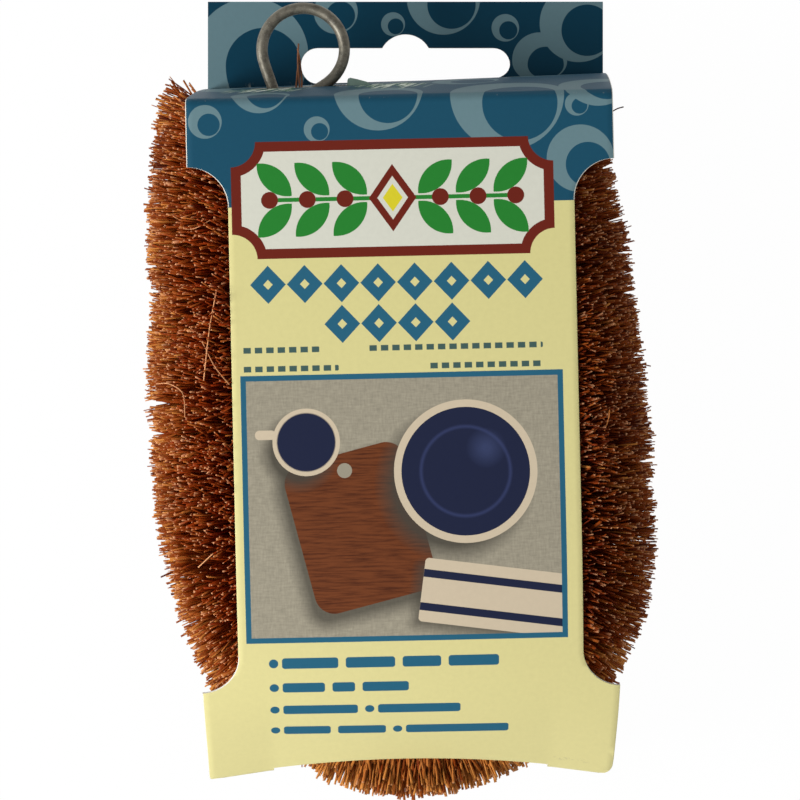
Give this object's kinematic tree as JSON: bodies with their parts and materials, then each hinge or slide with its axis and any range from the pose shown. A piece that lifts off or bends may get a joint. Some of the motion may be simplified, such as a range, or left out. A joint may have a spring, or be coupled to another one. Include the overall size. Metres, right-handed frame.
{
  "type": "dish brush",
  "caption": "Twisted-wire fibre brush bent into a U with a hanging ring, held in a waisted card sleeve with a slotted header.",
  "frame": {"origin": "under the middle of the whole object, on the surface that the sleeve's back panel lies on", "axes": "+Z out of the sleeve's front panel, +Y towards the hanging ring and the header, +X to the right seen from the front"},
  "size_m": [0.1043, 0.1695, 0.046],
  "materials": {
    "printed_card": "matte printed board",
    "galvanised_wire": "dull zinc",
    "coir_fibre": "dry plant fibre"
  },
  "bodies": {
    "root": {"card_sleeve": "printed_card", "twisted_wire": "galvanised_wire", "coir_left_1": "coir_fibre", "coir_left_2": "coir_fibre", "coir_left_3": "coir_fibre", "coir_left_4": "coir_fibre", "coir_left_5": "coir_fibre", "coir_left_6": "coir_fibre", "coir_bend_1": "coir_fibre", "coir_bend_2": "coir_fibre", "coir_bend_3": "coir_fibre", "coir_bend_4": "coir_fibre", "coir_bend_5": "coir_fibre", "coir_bend_6": "coir_fibre", "coir_right_1": "coir_fibre", "coir_right_2": "coir_fibre", "coir_right_3": "coir_fibre", "coir_right_4": "coir_fibre", "coir_right_5": "coir_fibre", "coir_right_6": "coir_fibre"}
  },
  "joints": []
}
